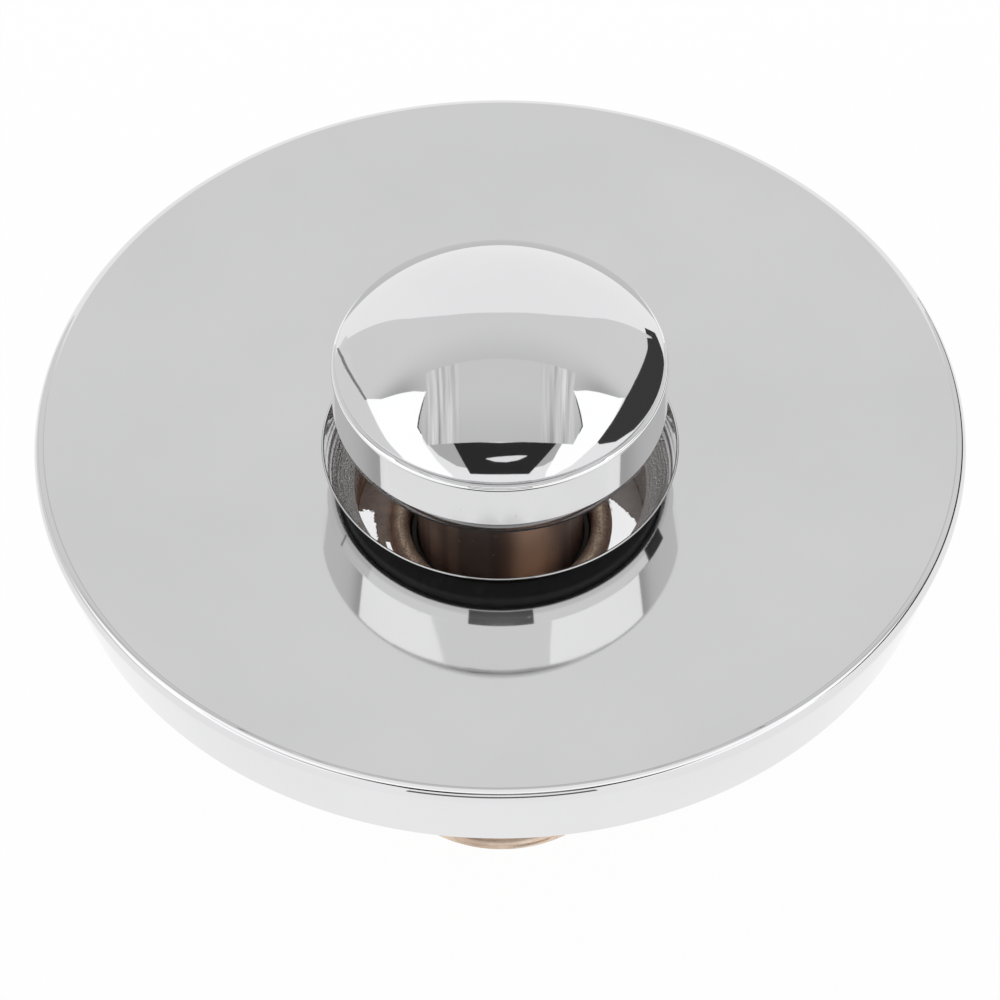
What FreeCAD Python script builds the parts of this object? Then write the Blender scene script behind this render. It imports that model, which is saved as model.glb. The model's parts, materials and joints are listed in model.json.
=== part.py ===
import FreeCAD
import Part
import math
import os

# Push-to-close drain stopper with a dished cover plate, as separate pieces, in millimetres.
# The origin is the centre of the tail pipe's open lower end, on the drain's axis.
# +Z points up, out of the drain, towards the domed stopper. The stopper is stored open.

V = FreeCAD.Vector
AXIS = V(0, 0, 1)

# Stud and post, which the radii of the pieces around them follow from the inside out
STUD_R = 3.0
POST_SHOULDER = 1.0
POST_R = STUD_R + POST_SHOULDER

# Latch: helical plunger, cam ring and pins on the guide post
CAM_GAP = 0.05
CAM_WALL = 1.85
CAM_CLEAR = 0.15
CAM_T = 2.65
CAM_UP = 1.55
CAM_TURN_DEG = 90.0
CAM_R = POST_R + CAM_GAP + CAM_WALL
COLLAR_OVER = 1.5
COLLAR_R = POST_R + COLLAR_OVER
COLLAR_H = 1.2
PRESS_FIT = 0.05
PLUNGER_WALL = 2.2
PLUNGER_UP = 0.3
PLUNGER_BORE_R = CAM_R + CAM_CLEAR
STEM_BORE_R = PLUNGER_BORE_R + PLUNGER_WALL + PRESS_FIT
PIN_R = 1.1
PIN_COUNT = 2
PIN_IN = 0.6
PIN_SHY = 0.4
PIN_ROOT = POST_R + PIN_IN
PIN_REACH = STEM_BORE_R - PIN_SHY
SLOT_W = 2.5
SLOT_END = 1.6
POST_CLIP_T = 0.8
POST_CLIP_DEEP = 0.6
POST_CLIP_OVER = 1.6
POST_CLIP_R = POST_R + POST_CLIP_OVER
POST_CLIP_MOUTH = 3.0
POST_NOSE = 0.75

# Stopper stroke and stem
STROKE = 11.5
STEM_WALL = 1.8
STEM_R = STEM_BORE_R + STEM_WALL
RUN_FIT = 0.06
STEM_END_T = 3.0
STEM_LOW = 2.4
CLIP_T = 1.1
CLIP_DEEP = 0.5
CLIP_OVER = 2.1
CLIP_R = STEM_R + CLIP_OVER
CLIP_MOUTH = 4.0
CLIP_SEAT = 0.02
STOP_GAP = 0.1

# Guide bush in the hub
BUSH_WALL = 1.0
BUSH_LIP = 1.5
BUSH_FLANGE_T = 1.0
BUSH_TOP_DROP = 0.8
HUB_BORE_R = STEM_R + BUSH_WALL
BUSH_FLANGE_R = HUB_BORE_R + BUSH_LIP

# Cast spider with the hub ring and two water windows
HUB_WALL = 2.4
HUB_DEEP = 13.9
HUB_RISE = 3.6
HUB_BASE_DROP = 0.8
FLOOR_T = 2.4
FLOOR_RISE = 0.9
FLOOR_LAND = 0.8
WINDOW_W = 2.5
WINDOW_DEG = 110.0
HUB_R = HUB_BORE_R + HUB_WALL
WINDOW_IN_R = HUB_R + FLOOR_LAND
WINDOW_OUT_R = WINDOW_IN_R + WINDOW_W

# Well and conical seat of the drain cup
SPIDER_LEDGE = 0.7
SEAT_WIDE = 3.0
SEAT_DROP = 0.8
SEAT_LIP = 0.4
WELL_R = WINDOW_OUT_R + FLOOR_LAND
SEAT_TOP_R = WELL_R + SEAT_WIDE

# Cover plate
PLATE_R = 55.0
RIM_Z = 66.2
RIM_FILLET = 1.1
DISH_DEPTH = 4.5
SKIRT_TAPER = 2.1
SKIRT_DROP = 11.0
SHEET_T = 1.5
COLLAR_T = 1.4
COLLAR_LEN = 3.5
HOLE_EDGE = 0.35
UNDER_CORNER = 1.8
HOLE_R = SEAT_TOP_R + SEAT_LIP
SKIRT_R = PLATE_R - SKIRT_TAPER

# Outside of the drain cup, under the plate
CUP_FIT = 0.05
CUP_WALL = 2.9
CUP_TUBE_T = 3.05
CUP_TUBE_UP = 1.8
CUP_FLANGE_W = 12.5
CUP_FLANGE_T = 2.2
CUP_FLANGE_UP = 0.7
CUP_FOOT = 9.0
SOCKET_DEEP = 4.5
CUP_WALL_R = WELL_R + CUP_WALL
SOCKET_R = HOLE_R + COLLAR_T + CUP_FIT
CUP_TUBE_R = SOCKET_R + CUP_TUBE_T
CUP_FLANGE_R = CUP_TUBE_R + CUP_FLANGE_W

# Deck gasket, below the cup's flange
GASKET_T = 2.0
GASKET_GAP = 0.3
GASKET_SHY = 0.5
GASKET_R = CUP_FLANGE_R - GASKET_SHY

# Tail pipe with a one inch parallel pipe thread
THREAD_R = 16.62
THREAD_PITCH = 2.309
THREAD_DEEP = 1.2
CREST_FLAT = 0.45
ROOT_FLAT = 0.35
TAIL_WALL = 1.82
OUTLET_STEP = 0.8
OUTLET_LEN = 6.0
THREAD_FIT = 0.05
TAIL_CHAMFER = 0.5
PITCH_R = THREAD_R - THREAD_DEEP / 2
TAIL_BORE_R = THREAD_R - THREAD_DEEP - TAIL_WALL
OUTLET_R = TAIL_BORE_R - OUTLET_STEP

# Back nut and washers on the tail
CONE_T = 5.0
CONE_SHY = 0.2
CONE_WIDE = 6.5
CONE_LAND = 1.5
SLIP_T = 1.5
WASHER_GAP = 0.25
NUT_T = 9.5
NUT_WALL = 4.93
NUT_CHAMFER = 1.6
CONE_TOP_R = CUP_WALL_R - CONE_SHY
CONE_LOW_R = CUP_WALL_R + CONE_WIDE
NUT_FLATS = 2 * (PITCH_R + THREAD_FIT + NUT_WALL)

# Seal and retainer
SEAL_INSET = 2.0
SEAL_SQUEEZE = 0.15
SEAL_BEVEL = 1.3
SEAL_LAND = 2.25
RETAINER_SHY = 2.1
RETAINER_T = 1.4
RETAINER_SLACK = 0.1
SEAL_R = SEAT_TOP_R - SEAL_INSET
SEAL_BASE_R = SEAL_R - SEAL_BEVEL
SEAL_BORE_R = STEM_R + SEAL_LAND
RETAINER_R = SEAL_BASE_R - RETAINER_SHY

# Domed cap and its skirt
CAP_LOW_UP = 6.4
CAP_LIP = 0.6
CHAMFER_W = 0.5
CHAMFER_H = 2.1
BAND_BELLY = 0.08
BAND_DRAW = 0.2
BAND_H = 5.6
SEAM = 0.3
DOME_DEG = 46.0
DOME_T = 2.2
SPIGOT_SHY = 2.1
SPIGOT_T = 1.5
SPIGOT_LEN = 2.0
BOSS_WALL = 3.0
SKIRT_FLOOR_T = 2.0
SEAL_RECESS = 0.5
CAP_LOW_R = SEAL_R + CAP_LIP
BAND_R = CAP_LOW_R + CHAMFER_W
BAND_MID_R = BAND_R + BAND_BELLY
BAND_TOP_R = BAND_R - BAND_DRAW
SPIGOT_R = CAP_LOW_R - SPIGOT_SHY
BOSS_R = STUD_R + BOSS_WALL

# Six millimetre stud's nut and holes
STUD_CLEAR = 0.2
STUD_NUT_T = 3.2
STUD_IN_BOSS = 8.6
STUD_ROOM = 0.4
STUD_SHY = 0.2
SMALL_WALL = 1.95
SMALL_CHAMFER = 0.5
SMALL_FLATS = 2 * (STUD_R + PRESS_FIT + SMALL_WALL)

# Return spring
WIRE_R = 0.6
COIL_OVER = 0.4
SPRING_TURNS = 6
END_PITCH = 2.6
COIL_R = PLUNGER_BORE_R + COIL_OVER

# Bridge across the outlet, with the post's nut and the spring's seat
BRIDGE_T = 6.0
BRIDGE_RING_T = 1.7
BRIDGE_LAND = 0.2
BRIDGE_ARM_W = 3.6
BRIDGE_ARMS = 3
SEAT_T = 1.0
SEAT_LAND = 0.55
SEAT_GAP = 0.1
POST_NUT_T = 3.4
POST_TAIL = 0.6
SEAT_R = COIL_R + WIRE_R + SEAT_LAND
BRIDGE_HUB_R = SEAT_R + BRIDGE_LAND

# Heights that follow from the sizes above
HOLE_Z = RIM_Z - DISH_DEPTH
COLLAR_Z = HOLE_Z - COLLAR_LEN
FLANGE_TOP_Z = COLLAR_Z + CUP_FLANGE_UP
FLANGE_Z = FLANGE_TOP_Z - CUP_FLANGE_T
SEAT_Z = COLLAR_Z - SEAT_DROP
WELL_Z = SEAT_Z - SEAT_WIDE
HUB_TOP_Z = HOLE_Z - HUB_DEEP
LEDGE_Z = HUB_TOP_Z - HUB_RISE
HUB_LOW_Z = LEDGE_Z - HUB_BASE_DROP
CUP_BASE_Z = LEDGE_Z - CUP_FOOT
SOCKET_Z = CUP_BASE_Z + SOCKET_DEEP
BUSH_LOW_Z = HUB_LOW_Z - BUSH_FLANGE_T
CLIP_TOP_Z = BUSH_LOW_Z - STOP_GAP
STEM_LOW_Z = CLIP_TOP_Z - STEM_LOW
CAP_Z = HOLE_Z + CAP_LOW_UP
BAND_Z = CAP_Z + CHAMFER_H
SEAM_Z = BAND_Z + BAND_H + SEAM
SKIRT_FLOOR_Z = CAP_Z + SEAL_RECESS
BOSS_Z = SKIRT_FLOOR_Z + SKIRT_FLOOR_T
SEAL_EDGE_Z = SEAT_Z - (SEAT_TOP_R - SEAL_R) + SEAL_SQUEEZE + STROKE
SEAL_LOW_Z = SEAL_EDGE_Z - SEAL_BEVEL
STEM_TOP_Z = SEAL_LOW_Z - RETAINER_T
STEM_ROOF_Z = STEM_TOP_Z - STEM_END_T
PLUNGER_LOW_Z = STEM_LOW_Z + PLUNGER_UP
CAM_BASE_Z = PLUNGER_LOW_Z + CAM_UP
BRIDGE_TOP_Z = OUTLET_LEN + BRIDGE_T
SPRING_LOW_Z = BRIDGE_TOP_Z + SEAT_T
CAM_TOP_Z = CAM_BASE_Z + CAM_T
PIN_Z = CAM_BASE_Z + CAM_T / 2
NUT_TOP_Z = CUP_BASE_Z - CONE_T - SLIP_T


def dish_z(r):
    """Height of the plate's shallow bowl at radius r."""
    edge = PLATE_R - RIM_FILLET
    return RIM_Z - DISH_DEPTH * (edge * edge - r * r) / (edge * edge - HOLE_R * HOLE_R)


def lathe(path):
    """Solid of revolution. A path item is a corner (r, z) or an arc (r, z, r_mid, z_mid) to that corner."""
    edges = []
    here = V(path[0][0], 0, path[0][1])
    for item in list(path[1:]) + [path[0][:2]]:
        there = V(item[0], 0, item[1])
        if len(item) == 4:
            edges.append(Part.Arc(here, V(item[2], 0, item[3]), there).toShape())
        elif (there - here).Length > 1e-7:
            edges.append(Part.makeLine(here, there))
        here = there
    return Part.Face(Part.Wire(edges)).revolve(V(0, 0, 0), AXIS, 360)


def ring(r_in, r_out, z_low, z_high):
    """Plain washer or tube."""
    return lathe([(r_in, z_low), (r_out, z_low), (r_out, z_high), (r_in, z_high)])


def hex_nut(flats, bore_r, z_low, z_high, chamfer):
    """Hexagon nut with both corners turned off."""
    corner = flats / math.sqrt(3)
    points = [V(corner * math.cos(math.radians(60 * i)), corner * math.sin(math.radians(60 * i)), z_low)
              for i in range(7)]
    prism = Part.Face(Part.makePolygon(points)).extrude(V(0, 0, z_high - z_low))
    turn = lathe([(bore_r, z_low), (corner - chamfer, z_low), (corner, z_low + chamfer / 2),
                  (corner, z_high - chamfer / 2), (corner - chamfer, z_high), (bore_r, z_high)])
    return prism.common(turn)


def polar(r, deg, z):
    return V(r * math.cos(math.radians(deg)), r * math.sin(math.radians(deg)), z)


def sector(r_in, r_out, deg_mid, deg_wide, z_low, z_high):
    """Curved kidney block between two radii, with rounded ends."""
    r_mid = (r_in + r_out) / 2
    end = (r_out - r_in) / 2
    half = deg_wide / 2 - math.degrees(end / r_mid)
    a, b = deg_mid - half, deg_mid + half
    edges = [Part.Arc(polar(r_out, a, z_low), polar(r_out, deg_mid, z_low), polar(r_out, b, z_low)).toShape(),
             Part.Arc(polar(r_out, b, z_low), polar(r_mid, deg_mid + deg_wide / 2, z_low),
                      polar(r_in, b, z_low)).toShape(),
             Part.Arc(polar(r_in, b, z_low), polar(r_in, deg_mid, z_low), polar(r_in, a, z_low)).toShape(),
             Part.Arc(polar(r_in, a, z_low), polar(r_mid, deg_mid - deg_wide / 2, z_low),
                      polar(r_out, a, z_low)).toShape()]
    return Part.Face(Part.Wire(edges)).extrude(V(0, 0, z_high - z_low))


def cover_plate():
    """Dished sheet with a tapered outer skirt and a short collar turned down at the hole."""
    edge = PLATE_R - RIM_FILLET
    mid = (HOLE_R + HOLE_EDGE + edge) / 2
    low_z = RIM_Z - SKIRT_DROP
    in_r = HOLE_R + COLLAR_T
    wall_r = edge - SHEET_T / 2
    out_r = wall_r - UNDER_CORNER
    in_mid = (in_r + out_r) / 2
    k = RIM_FILLET * math.sqrt(0.5)
    e = HOLE_EDGE * math.sqrt(0.5)
    lip_z = dish_z(HOLE_R + HOLE_EDGE)
    return lathe([
        (HOLE_R, COLLAR_Z), (HOLE_R, lip_z - HOLE_EDGE),
        (HOLE_R + HOLE_EDGE, lip_z, HOLE_R + HOLE_EDGE - e, lip_z - HOLE_EDGE + e),
        (edge, RIM_Z, mid, dish_z(mid)),
        (PLATE_R, RIM_Z - RIM_FILLET, edge + k, RIM_Z - RIM_FILLET + k),
        (SKIRT_R, low_z), (SKIRT_R - SHEET_T, low_z), (wall_r, RIM_Z - SHEET_T - UNDER_CORNER),
        (out_r, dish_z(out_r) - SHEET_T),
        (in_r, dish_z(in_r) - SHEET_T, in_mid, dish_z(in_mid) - SHEET_T), (in_r, COLLAR_Z)])


def drain_cup():
    """Turned body: collar socket, deck flange, conical seat, well and tail socket."""
    ledge_r = WELL_R - SPIDER_LEDGE
    tail_r = PITCH_R + THREAD_FIT
    return lathe([
        (SOCKET_R, COLLAR_Z), (SOCKET_R, COLLAR_Z + CUP_TUBE_UP), (CUP_TUBE_R, COLLAR_Z + CUP_TUBE_UP),
        (CUP_TUBE_R, FLANGE_TOP_Z), (CUP_FLANGE_R, FLANGE_TOP_Z), (CUP_FLANGE_R, FLANGE_Z),
        (CUP_WALL_R, FLANGE_Z), (CUP_WALL_R, CUP_BASE_Z), (tail_r, CUP_BASE_Z), (tail_r, SOCKET_Z),
        (ledge_r, SOCKET_Z), (ledge_r, LEDGE_Z), (WELL_R, LEDGE_Z), (WELL_R, WELL_Z),
        (SEAT_TOP_R, SEAT_Z), (SEAT_TOP_R, COLLAR_Z)])


def tail_pipe():
    """Pipe with thread ridges on its free end, the pitch size above them and a stepped bore inside."""
    root_r = THREAD_R - THREAD_DEEP
    flank = (THREAD_PITCH - CREST_FLAT - ROOT_FLAT) / 2
    land_z = TAIL_CHAMFER + CREST_FLAT
    path = [(OUTLET_R, 0), (THREAD_R - TAIL_CHAMFER, 0), (THREAD_R, TAIL_CHAMFER), (THREAD_R, land_z),
            (root_r, land_z + flank)]
    z = land_z + flank + ROOT_FLAT
    while z + THREAD_PITCH < NUT_TOP_Z - NUT_T:
        path += [(root_r, z), (THREAD_R, z + flank), (THREAD_R, z + flank + CREST_FLAT),
                 (root_r, z + 2 * flank + CREST_FLAT)]
        z += THREAD_PITCH
    path += [(root_r, z), (PITCH_R, z), (PITCH_R, SOCKET_Z)]
    path += [(TAIL_BORE_R, SOCKET_Z), (TAIL_BORE_R, OUTLET_LEN), (OUTLET_R, OUTLET_LEN)]
    return lathe(path)


def cone_washer():
    low = CUP_BASE_Z - CONE_T
    bore = THREAD_R + WASHER_GAP
    return lathe([(bore, low), (CONE_LOW_R, low), (CONE_LOW_R, low + CONE_LAND),
                  (CONE_TOP_R, CUP_BASE_Z), (bore, CUP_BASE_Z)])


def spider_hub():
    """Cast hub ring with a round rim on a floor that has two water windows."""
    rim = (HUB_R - HUB_BORE_R) / 2
    floor_r = WELL_R - CUP_FIT
    floor_z = LEDGE_Z + FLOOR_T
    body = lathe([
        (HUB_BORE_R, HUB_LOW_Z), (HUB_R, HUB_LOW_Z), (HUB_R, LEDGE_Z), (floor_r, LEDGE_Z),
        (floor_r, floor_z + FLOOR_RISE), (HUB_R, floor_z), (HUB_R, HUB_TOP_Z - rim),
        (HUB_BORE_R, HUB_TOP_Z - rim, HUB_BORE_R + rim, HUB_TOP_Z)])
    for mid in (90, 270):
        window = sector(WINDOW_IN_R, WINDOW_OUT_R, mid, WINDOW_DEG, HUB_LOW_Z, HUB_TOP_Z)
        body = body.cut(window)
    return body


def guide_bush():
    bore = STEM_R + RUN_FIT
    out = HUB_BORE_R - PRESS_FIT
    top = HUB_TOP_Z - BUSH_TOP_DROP
    return lathe([(bore, BUSH_LOW_Z), (BUSH_FLANGE_R, BUSH_LOW_Z), (BUSH_FLANGE_R, HUB_LOW_Z),
                  (out, HUB_LOW_Z), (out, top), (bore, top)])


def stopper_dome():
    """Domed cap with a spigot into the skirt and a tapped boss for the stud."""
    r = CAP_LOW_R
    ball = r / math.sin(math.radians(DOME_DEG))
    base_z = SEAM_Z + SEAM
    mid_z = base_z - ball * math.cos(math.radians(DOME_DEG))
    half = math.radians(DOME_DEG / 2)
    inner = ball - DOME_T
    spigot_in = SPIGOT_R - SPIGOT_T
    low_z = SEAM_Z - SPIGOT_LEN
    roof = mid_z + math.sqrt(inner ** 2 - spigot_in ** 2)
    boss = mid_z + math.sqrt(inner ** 2 - BOSS_R ** 2)
    pull = (spigot_in + BOSS_R) / 2
    hole_r = STUD_R + PRESS_FIT
    hole_z = BOSS_Z + STUD_IN_BOSS + STUD_ROOM
    return lathe([
        (0, hole_z), (hole_r, hole_z), (hole_r, BOSS_Z), (BOSS_R, BOSS_Z), (BOSS_R, boss),
        (spigot_in, roof, pull, mid_z + math.sqrt(inner ** 2 - pull ** 2)), (spigot_in, low_z),
        (SPIGOT_R, low_z), (SPIGOT_R, SEAM_Z), (r - SEAM, SEAM_Z), (r, base_z),
        (0, mid_z + ball, ball * math.sin(half), mid_z + ball * math.cos(half))])


def stopper_skirt():
    """Band below the dome, with a floor that takes the seal."""
    bore = STUD_R + STUD_CLEAR
    lip = SEAL_R + PRESS_FIT
    inner = SPIGOT_R + PRESS_FIT
    return lathe([
        (bore, SKIRT_FLOOR_Z), (lip, SKIRT_FLOOR_Z), (lip, CAP_Z), (CAP_LOW_R, CAP_Z), (BAND_R, BAND_Z),
        (BAND_TOP_R, BAND_Z + BAND_H, BAND_MID_R, BAND_Z + BAND_H / 2), (BAND_TOP_R - SEAM, SEAM_Z),
        (inner, SEAM_Z), (inner, BOSS_Z), (bore, BOSS_Z)])


def stopper_seal():
    return lathe([(SEAL_BORE_R, SEAL_LOW_Z), (SEAL_BASE_R, SEAL_LOW_Z), (SEAL_R, SEAL_EDGE_Z),
                  (SEAL_R, SKIRT_FLOOR_Z), (SEAL_BORE_R, SKIRT_FLOOR_Z)])


def seal_retainer():
    bore = STUD_R + STUD_CLEAR
    boss = SEAL_BORE_R - PRESS_FIT
    return lathe([(bore, STEM_TOP_Z), (RETAINER_R, STEM_TOP_Z), (RETAINER_R, SEAL_LOW_Z), (boss, SEAL_LOW_Z),
                  (boss, SKIRT_FLOOR_Z - RETAINER_SLACK), (bore, SKIRT_FLOOR_Z - RETAINER_SLACK)])


def stem_sleeve():
    """Brass stem: a tube closed at the top, with a clip groove near its lower end."""
    groove = STEM_R - CLIP_DEEP
    slack = PRESS_FIT
    hole_r = STUD_R + PRESS_FIT
    low = CLIP_TOP_Z - CLIP_T - slack
    return lathe([
        (STEM_BORE_R, STEM_LOW_Z), (STEM_R, STEM_LOW_Z), (STEM_R, low), (groove, low),
        (groove, CLIP_TOP_Z + slack), (STEM_R, CLIP_TOP_Z + slack), (STEM_R, STEM_TOP_Z),
        (hole_r, STEM_TOP_Z), (hole_r, STEM_ROOF_Z), (STEM_BORE_R, STEM_ROOF_Z)])


def plunger():
    """Sleeve inside the stem with two through slots that wind a quarter turn per stroke."""
    body = ring(PLUNGER_BORE_R, STEM_BORE_R - PRESS_FIT, PLUNGER_LOW_Z, STEM_ROOF_Z)
    lead = STROKE * 360 / CAM_TURN_DEG
    span = STROKE + 2 * SLOT_END
    mid_r = (PLUNGER_BORE_R + STEM_BORE_R) / 2
    reach = STEM_BORE_R - PLUNGER_BORE_R
    start_z = PIN_Z - SLOT_END
    path = Part.makeHelix(lead, span, mid_r)
    rise = math.atan2(lead, 2 * math.pi * mid_r)
    tall = V(0, -math.sin(rise), math.cos(rise)) * (SLOT_W / 2)
    deep = V(reach, 0, 0)
    at = V(mid_r, 0, 0)
    face = Part.makePolygon([at - deep - tall, at + deep - tall, at + deep + tall, at - deep + tall,
                             at - deep - tall])
    slot = Part.Wire(path.Edges).makePipeShell([face], True, True)
    slot.translate(V(0, 0, start_z))
    turn = SLOT_END * 360 / lead
    for i in range(PIN_COUNT):
        tool = slot.copy()
        tool.rotate(V(0, 0, 0), AXIS, i * 360 / PIN_COUNT - turn)
        body = body.cut(tool)
    return body


def snap_ring(r_in, r_out, z_low, z_high, gap):
    """Open retaining ring with its mouth towards +X."""
    mouth = Part.makeBox(r_out * 2, gap, z_high - z_low + 2, V(0, -gap / 2, z_low - 1))
    return ring(r_in, r_out, z_low, z_high).cut(mouth)


def cam_ring():
    body = ring(POST_R + CAM_GAP, CAM_R, CAM_BASE_Z, CAM_TOP_Z)
    for pin in pins(PIN_R + PRESS_FIT / 2, PIN_ROOT):
        body = body.cut(pin)
    return body


def pins(r, r_in):
    """Radial latch pins, equally spaced."""
    return [Part.makeCylinder(r, PIN_REACH - r_in, polar(r_in, i * 360 / PIN_COUNT, PIN_Z),
                              polar(1, i * 360 / PIN_COUNT, 0)) for i in range(PIN_COUNT)]


def guide_post():
    """Fixed post with a shoulder on the bridge, a cam collar and a clip groove."""
    collar_z = CAM_BASE_Z - CAM_GAP
    groove = POST_R - POST_CLIP_DEEP
    clip_z = CAM_TOP_Z + CAM_GAP
    top = clip_z + POST_CLIP_T + POST_NOSE
    return lathe([
        (0, OUTLET_LEN - POST_NUT_T - POST_TAIL), (STUD_R, OUTLET_LEN - POST_NUT_T - POST_TAIL),
        (STUD_R, BRIDGE_TOP_Z), (POST_R, BRIDGE_TOP_Z), (POST_R, collar_z - COLLAR_H),
        (COLLAR_R, collar_z - COLLAR_H), (COLLAR_R, collar_z), (POST_R, collar_z), (POST_R, clip_z),
        (groove, clip_z), (groove, clip_z + POST_CLIP_T), (POST_R, clip_z + POST_CLIP_T),
        (POST_R, top), (0, top)])


def bottom_bridge():
    """Ring, hub and arms across the tail pipe's outlet."""
    low = OUTLET_LEN
    out = TAIL_BORE_R - PRESS_FIT
    body = ring(out - BRIDGE_RING_T, out, low, BRIDGE_TOP_Z)
    body = body.fuse(Part.makeCylinder(BRIDGE_HUB_R, BRIDGE_T, V(0, 0, low)))
    for i in range(BRIDGE_ARMS):
        arm = Part.makeBox(out - BRIDGE_RING_T / 2, BRIDGE_ARM_W, BRIDGE_T, V(0, -BRIDGE_ARM_W / 2, low))
        arm.rotate(V(0, 0, 0), AXIS, 90 + i * 360 / BRIDGE_ARMS)
        body = body.fuse(arm)
    body = body.cut(Part.makeCylinder(STUD_R + PRESS_FIT, BRIDGE_T + 2, V(0, 0, low - 1)))
    return body.removeSplitter()


def coil_height(turn):
    """Wire centre height at a number of turns: close ends that open smoothly into the free coils."""
    low = SPRING_LOW_Z + WIRE_R
    high = PLUNGER_LOW_Z - WIRE_R
    free = (high - low - 2 * END_PITCH) / (SPRING_TURNS - 2)
    steps = 720
    rates = []
    for i in range(steps):
        t = (i + 0.5) / steps * SPRING_TURNS
        near = min(t, SPRING_TURNS - t)
        blend = min(max((near - 0.75) / 0.5, 0), 1)
        blend = blend * blend * (3 - 2 * blend)
        rates.append(END_PITCH + (free - END_PITCH) * blend)
    scale = (high - low) / (sum(rates) * SPRING_TURNS / steps)
    done = turn / SPRING_TURNS * steps
    whole = int(done)
    total = sum(rates[:whole]) + (rates[whole] * (done - whole) if whole < steps else 0)
    rate = rates[min(whole, steps - 1)] * scale
    return low + total * SPRING_TURNS / steps * scale, rate


def arc_from(start, tangent, end):
    """Circular arc that leaves start along tangent and reaches end."""
    half = (end - start) * 0.5
    bow = tangent * (half.Length ** 2 / tangent.dot(half)) - half
    sag = half.Length * math.tan(math.atan2(bow.Length, half.Length) / 2)
    return Part.Arc(start, start + half + bow.normalize() * sag, end).toShape()


def return_spring():
    """Coil spring: one unbroken tube on pairs of tangent arcs, four pairs to the turn."""
    points = []
    for i in range(SPRING_TURNS * 4 + 1):
        turn = i / 4
        z, rate = coil_height(turn)
        a = 2 * math.pi * turn
        tangent = V(-COIL_R * math.sin(a), COIL_R * math.cos(a), rate / (2 * math.pi)).normalize()
        points.append((V(COIL_R * math.cos(a), COIL_R * math.sin(a), z), tangent))
    edges = []
    for (p, t), (q, u) in zip(points, points[1:]):
        gap = q - p
        both = t + u
        a = 2 * (1 - t.dot(u))
        b = gap.dot(both)
        d = (math.sqrt(b * b + a * gap.dot(gap)) - b) / a
        joint = (p + q + (t - u) * d) * 0.5
        edges.append(arc_from(p, t, joint))
        edges.append(arc_from(q, u * -1, joint))
    wire = Part.Wire(Part.__sortEdges__(edges))
    start, tangent = points[0]
    profile = Part.Wire(Part.makeCircle(WIRE_R, start, tangent))
    return wire.makePipeShell([profile], True, False)


def spring_gap():
    """Smallest clear distance between neighbouring turns, measured on points of the wire's centre line."""
    count = SPRING_TURNS * 48
    path = []
    for i in range(count + 1):
        turn = i / 48
        z = coil_height(turn)[0]
        path.append(V(COIL_R * math.cos(2 * math.pi * turn), COIL_R * math.sin(2 * math.pi * turn), z))
    pairs = [(i, j) for i in range(count) for j in range(i + 24, min(i + 72, count + 1))]
    return min((path[i] - path[j]).Length for i, j in pairs) - 2 * WIRE_R


def build():
    seat_r = POST_R + SEAT_GAP
    slip_z = NUT_TOP_Z + SLIP_T
    clip_z = CAM_TOP_Z + CAM_GAP
    stud_z = STEM_ROOF_Z - STUD_NUT_T + STUD_SHY
    small_bore = STUD_R + PRESS_FIT
    return {
        "cover_plate": cover_plate(),
        "drain_cup": drain_cup(),
        "deck_gasket": ring(CUP_WALL_R + GASKET_GAP, GASKET_R, FLANGE_Z - GASKET_T, FLANGE_Z),
        "tail_pipe": tail_pipe(),
        "cone_washer": cone_washer(),
        "slip_washer": ring(THREAD_R + WASHER_GAP, CONE_LOW_R, NUT_TOP_Z, slip_z),
        "back_nut": hex_nut(NUT_FLATS, PITCH_R + THREAD_FIT, NUT_TOP_Z - NUT_T, NUT_TOP_Z, NUT_CHAMFER),
        "spider_hub": spider_hub(),
        "guide_bush": guide_bush(),
        "bottom_bridge": bottom_bridge(),
        "guide_post": guide_post(),
        "post_nut": hex_nut(SMALL_FLATS, small_bore, OUTLET_LEN - POST_NUT_T, OUTLET_LEN, SMALL_CHAMFER),
        "post_clip": snap_ring(POST_R - POST_CLIP_DEEP + CLIP_SEAT, POST_CLIP_R, clip_z, clip_z + POST_CLIP_T,
                               POST_CLIP_MOUTH),
        "spring_seat": ring(seat_r, SEAT_R, BRIDGE_TOP_Z, SPRING_LOW_Z),
        "return_spring": return_spring(),
        "cam_ring": cam_ring(),
        "cam_pins": Part.makeCompound(pins(PIN_R, PIN_ROOT)),
        "stopper_dome": stopper_dome(),
        "stopper_skirt": stopper_skirt(),
        "stopper_seal": stopper_seal(),
        "seal_retainer": seal_retainer(),
        "stem_sleeve": stem_sleeve(),
        "stem_clip": snap_ring(STEM_R - CLIP_DEEP + CLIP_SEAT, CLIP_R, CLIP_TOP_Z - CLIP_T, CLIP_TOP_Z,
                               CLIP_MOUTH),
        "cap_stud": Part.makeCylinder(STUD_R, BOSS_Z + STUD_IN_BOSS - stud_z, V(0, 0, stud_z)),
        "stud_nut": hex_nut(SMALL_FLATS, small_bore, STEM_ROOF_Z - STUD_NUT_T, STEM_ROOF_Z, SMALL_CHAMFER),
        "plunger": plunger(),
    }


os.makedirs("parts", exist_ok=True)
for node, shape in build().items():
    shape.exportStep("parts/" + node + ".step")
    box = shape.BoundBox
    print(node, "solids", len(shape.Solids), "valid", shape.isValid(),
          "z", round(box.ZMin, 2), round(box.ZMax, 2), "volume", round(shape.Volume, 1))
print("spring clear gap", round(spring_gap(), 3))
print("stopper seal height closed", round(SEAL_LOW_Z - STROKE, 3), "well mouth", round(WELL_Z, 3))
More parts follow.
